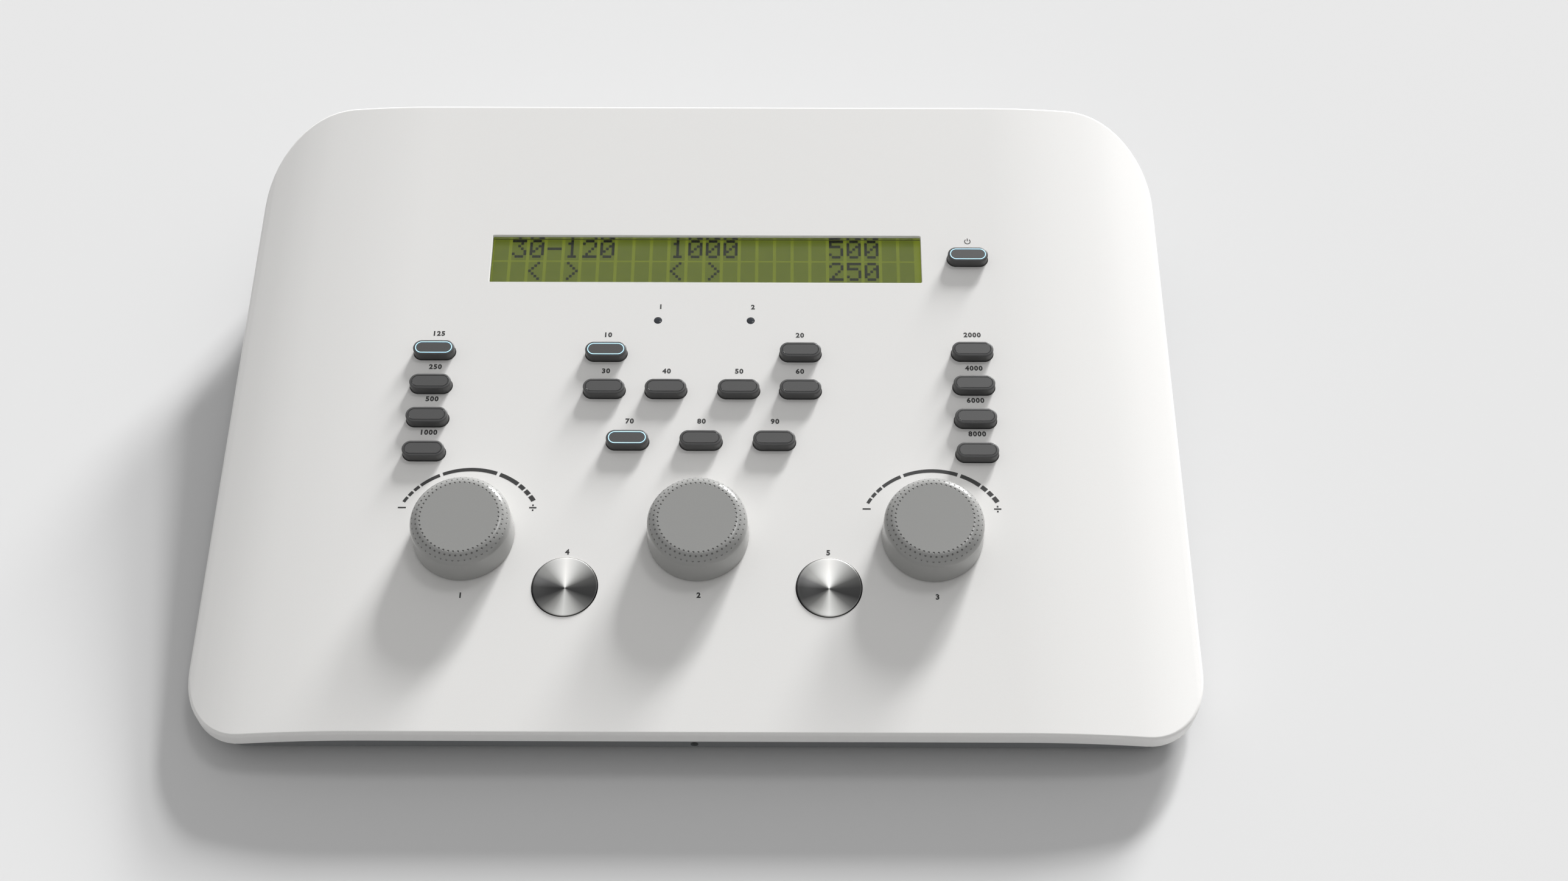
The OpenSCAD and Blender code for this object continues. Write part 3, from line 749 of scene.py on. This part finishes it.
for row, line in enumerate(LINES):
    for column, letter in enumerate(line):
        left = CELL_X + column * PITCH_X
        top = CELL_TOP - row * PITCH_Y
        cells.append(duplicate(cell, "cell_copy"))
        set_down(cells[-1], left + CELL_MIDDLE, top - 4 * DOT_Y, CELL_Z + CELL_LIFT, Matrix())
        for down, bits in enumerate(DOTS.get(letter, "").split()):
            for across, bit in enumerate(bits):
                if bit == "1":
                    dots.append(duplicate(dot, "dot_copy"))
                    set_down(dots[-1], left + (across + 0.5) * DOT_X, top - (down + 0.5) * DOT_Y,
                             CELL_Z + DOT_LIFT, Matrix())
for loose in (cell, dot):
    bpy.data.objects.remove(loose)
cells = join(cells, "display_cells")
dots = join(dots, "display_dots")
# Liquid crystal film over a yellow-green back light, whose glow is a little uneven.
film, shader = start_material("backlit_liquid_crystal_film", "#3A401A", 0.5)
mottle(shader, noise(shader, 120, 4), "#646E16", "#727C1A", "Emission Color")
shader.inputs["Emission Strength"].default_value = 1
film_cell, shader = start_material("backlit_liquid_crystal_cell", "#343A18", 0.5)
mottle(shader, noise(shader, 250, 5), "#4C5712", "#5E6818", "Emission Color")
shader.inputs["Emission Strength"].default_value = 1
film_dot, _ = start_material("liquid_crystal_dot", "#1C2118", 0.5)
for piece, material in ((cells, film_cell), (dots, film_dot)):
    piece.data.transform(SLOPE)
    wear(piece, material)
    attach(piece, "housing")
wear(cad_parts["lcd_glass"], film)
# Cast acrylic with an anti-glare coat: clear, with a sharp but weak reflection.
pane = bpy.data.materials.new("clear_cast_acrylic")
pane.use_nodes = True
tree = pane.node_tree
tree.nodes.clear()
clear = add(tree, "BsdfTransparent", {"Color": (0.95, 0.96, 0.93, 1)})
gloss = add(tree, "BsdfGlossy", {"Roughness": 0.04})
edge_on = add(tree, "Fresnel", {"IOR": 1.25})
both = add(tree, "MixShader", {0: edge_on.outputs[0], 1: clear.outputs[0], 2: gloss.outputs[0]})
add(tree, "OutputMaterial", {"Surface": both.outputs[0]})
wear(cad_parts["display_window"], pane)

# ---- Indicator lamps ----
# Two unlit dark blue lenses, standing level with the cover in round holes.
lens = lathe("lens", [(1.9, -13), (1.9, -3), (1.45, -3), (1.45, -0.25), (1.35, -0.08), (1, 0.02),
                      (0.5, 0.08)], 48)
smooth(lens)
lenses = [duplicate(lens, "lens_copy") for _ in LAMPS]
for copy, (x, y) in zip(lenses, LAMPS):
    set_down(copy, x, y)
bpy.data.objects.remove(lens)
lenses = join(lenses, "indicator_lenses")
# Tinted epoxy: nearly black with a blue cast and a gloss.
epoxy, _ = start_material("tinted_epoxy", "#17202A", 0.2)
wear(lenses, epoxy)
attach(lenses, "housing")
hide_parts("indicator_leds")

# ---- Printed marks ----
# Screen-printed in black ink: a plain number by each control, a scale of dashes that thickens round
# the outer knobs with a minus and a plus, and the sign for power.
INK_Z, INK_THICK = 0.012, 0.02
TEXT_CAP, CAP_SHARE = 2.05, 0.71
marks = []


def strip(name, place_at, cuts):
    """Thin ink mark: a strip cut across, whose points place_at moves from (along, across) to x, y"""
    piece = primitive("plane", name, size=1, location=(0.5, 0.5, 0))
    for i in range(1, cuts):
        bpy.ops.mesh.select_all(action="SELECT")
        bpy.ops.mesh.bisect(plane_co=(i / cuts, 0, 0), plane_no=(1, 0, 0))
    edit()
    for vertex in piece.data.vertices:
        vertex.co.x, vertex.co.y = place_at(vertex.co.x, vertex.co.y)
        vertex.co.z = INK_Z
    edit(piece)
    pull(z=INK_THICK)
    face_out()
    edit()
    marks.append(piece)


def bar(x, y, width, depth):
    """Square-cut ink bar round its middle"""
    strip("bar", lambda u, v: (x + (u - 0.5) * width, y + (v - 0.5) * depth), 1)


def arc(x, y, first, last, inner, outer):
    """Ink arc from one angle to another; inner and outer give the radius at an angle"""
    def place_at(u, v):
        angle = first + (last - first) * u
        radius = inner(angle) + (outer(angle) - inner(angle)) * v
        return x + radius * math.cos(math.radians(angle)), y + radius * math.sin(math.radians(angle))
    strip("arc", place_at, max(1, round(abs(last - first) / 2)))


def number(value, x, y):
    """Ink number round its middle"""
    bpy.ops.object.select_all(action="DESELECT")
    bpy.ops.object.text_add()
    text = bpy.context.object
    text.data.body = value
    text.data.size = TEXT_CAP / CAP_SHARE
    text.data.align_x = "CENTER"
    text.data.offset = 0.13
    text.data.extrude = INK_THICK / 2
    text.data.space_character = 1.2
    text.data.resolution_u = 3
    bpy.ops.object.convert(target="MESH")
    text.data.transform(Matrix.Translation((x, y - TEXT_CAP / 2, INK_Z + INK_THICK / 2)))
    marks.append(text)


NUMBERS = [("125", -103.6, 27.4), ("250", -103.6, 11.9), ("500", -103.6, -2.8), ("1000", -103.6, -17.8),
           ("2000", 104.8, 27.4), ("4000", 104.8, 11.9), ("6000", 104.8, -2.8), ("8000", 104.8, -17.8),
           ("10", -37.5, 27), ("20", 37.5, 27), ("30", -37.5, 10.2), ("40", -14, 10.2), ("50", 14, 10.2),
           ("60", 37.5, 10.2), ("70", -27.4, -12.5), ("80", 0, -12.5), ("90", 28, -12.5),
           ("1", -17.3, 40.4), ("2", 19, 40.3), ("1", -85.8, -86.9), ("2", 0.7, -86.6), ("3", 87.4, -87),
           ("4", -47.9, -69), ("5", 47.9, -69)]
for value, x, y in NUMBERS:
    number(value, x, y)
DASHES = ((149, 144), (142.5, 138), (136.5, 131.5), (130, 113.5), (111, 69), (66.5, 50), (48.5, 43.5),
          (42, 37.5), (36, 31))
SCALE_FROM, SCALE_TO = 149, 31


def along_scale(angle):
    """Part of the scale that has been passed at an angle"""
    return (SCALE_FROM - angle) / (SCALE_FROM - SCALE_TO)


for x, y in (KNOBS["knob_left"], KNOBS["knob_right"]):
    for first, last in DASHES:
        arc(x, y, first, last, lambda a: 27 + 0.9 * along_scale(a), lambda a: 28.2 + 1.5 * along_scale(a))
    bar(x - 24.1, y + 11.8, 3, 0.6)
    bar(x + 24.6, y + 11.9, 2.7, 0.6)
    bar(x + 24.6, y + 12.95, 0.6, 0.7)
    bar(x + 24.6, y + 10.85, 0.6, 0.7)
POWER_SIGN = (104.8, 72.5)
arc(*POWER_SIGN, 128, 412, lambda a: 0.95, lambda a: 1.3)
bar(POWER_SIGN[0], POWER_SIGN[1] + 0.85, 0.35, 1.3)
marks = join(marks, "printed_marks")
marks.data.transform(SLOPE)
# Screen ink: matt near-black, a little thinner in places.
ink, shader = start_material("screen_ink", "#1E1E1E", 0.55)
mottle(shader, noise(shader, 1800, 2), "#1A1A1A", "#242424")
wear(marks, ink)
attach(marks, "housing")

# ---- Rear sockets ----
# Six jack sockets, each held by a plated ring nut with four spanner slots; the square data socket
# and the round power inlet beside them keep the shapes of the frame.
NUT_R, NUT_RING, NUT_EDGE, NUT_BEVEL, SLOT_WIDE = 6.5, 1.75, 1.7, 0.3, 1.4
nut = primitive("circle", "nut", vertices=64, radius=NUT_R, fill_type="NGON", location=(0, 0, 0))
bpy.ops.mesh.inset(thickness=NUT_RING)
bpy.ops.mesh.delete(type="FACE")
bpy.ops.mesh.select_all(action="SELECT")
pull(z=NUT_EDGE)
bpy.ops.mesh.inset(thickness=NUT_BEVEL, depth=NUT_BEVEL)
face_out()
edit()
slots = []
for length, width in ((16, SLOT_WIDE), (SLOT_WIDE, 16)):
    slot = primitive("cube", "slot", size=1, location=(0, 0, NUT_EDGE))
    stretch(length, width, 1.4, about=(0, 0, NUT_EDGE))
    edit()
    slots.append(slot)
carve(nut, slots)
smooth(nut)
nuts = [duplicate(nut, "nut_copy") for _ in JACKS]
facing_back = Matrix.Rotation(-math.pi / 2, 4, "X")
for copy, x in zip(nuts, JACKS):
    copy.data.transform(LEVEL @ Matrix.Translation((x, BACK_Y, SOCKET_Z)) @ facing_back)
bpy.data.objects.remove(nut)
nuts = join(nuts, "jack_ring_nuts")
# Nickel plate: bright, a little softened by handling.
nickel, shader = start_material("nickel_plate", "#C6C4BE", 0.25, 1)
roughen(shader, noise(shader, 600, 3), 0.18, 0.34)
wear(nuts, nickel)
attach(nuts, "housing")
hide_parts("jack_nuts")

# ---- Finishes of the parts inside ----
# What the covers hide or half hide: sockets, boards, switches, screws and encoders keep the shapes
# of the frame and take the finish of the real ones.
# Glass-filled nylon: black, matt, faintly speckled.
nylon, shader = start_material("black_filled_nylon", "#1B1C1D", 0.55)
mottle(shader, noise(shader, 2200, 3), "#151617", "#242628")
# Circuit board: green solder mask over glass weave.
mask, shader = start_material("green_solder_mask", "#1B6B45", 0.35)
place = add(shader.id_data, "TexCoord")
weave = add(shader.id_data, "TexWave", {"Vector": place.outputs["Object"], "Scale": 400, "Distortion": 1})
mottle(shader, weave.outputs[0], "#175F3D", "#1F754D")
# Turned brass: warm, with a finish that is a little uneven.
brass, shader = start_material("turned_brass", "#C9A765", 0.3, 1)
roughen(shader, noise(shader, 3000, 1), 0.25, 0.4)
# Pressed steel, painted black: the display's frame.
black_paint, shader = start_material("black_painted_steel", "#141414", 0.4)
emboss(shader, noise(shader, 1500, 2), 0.1, 0.00005)
FINISHES = {nylon: ["tact_switches", "dc_inlet"] + ["jack_socket_%d" % (i + 1) for i in range(6)],
            mask: ["main_board", "lcd_board", "connector_board"],
            brass: ["shaft_left", "shaft_centre", "shaft_right"],
            black_paint: ["lcd_frame"],
            nickel: ["encoder_bodies", "talk_microphone", "usb_socket", "dc_pin", "case_screws",
                     "board_screws", "lcd_screws", "connector_screws"]}
for material, names in FINISHES.items():
    for name in names:
        wear(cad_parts[name], material)

bpy.context.view_layer.update()
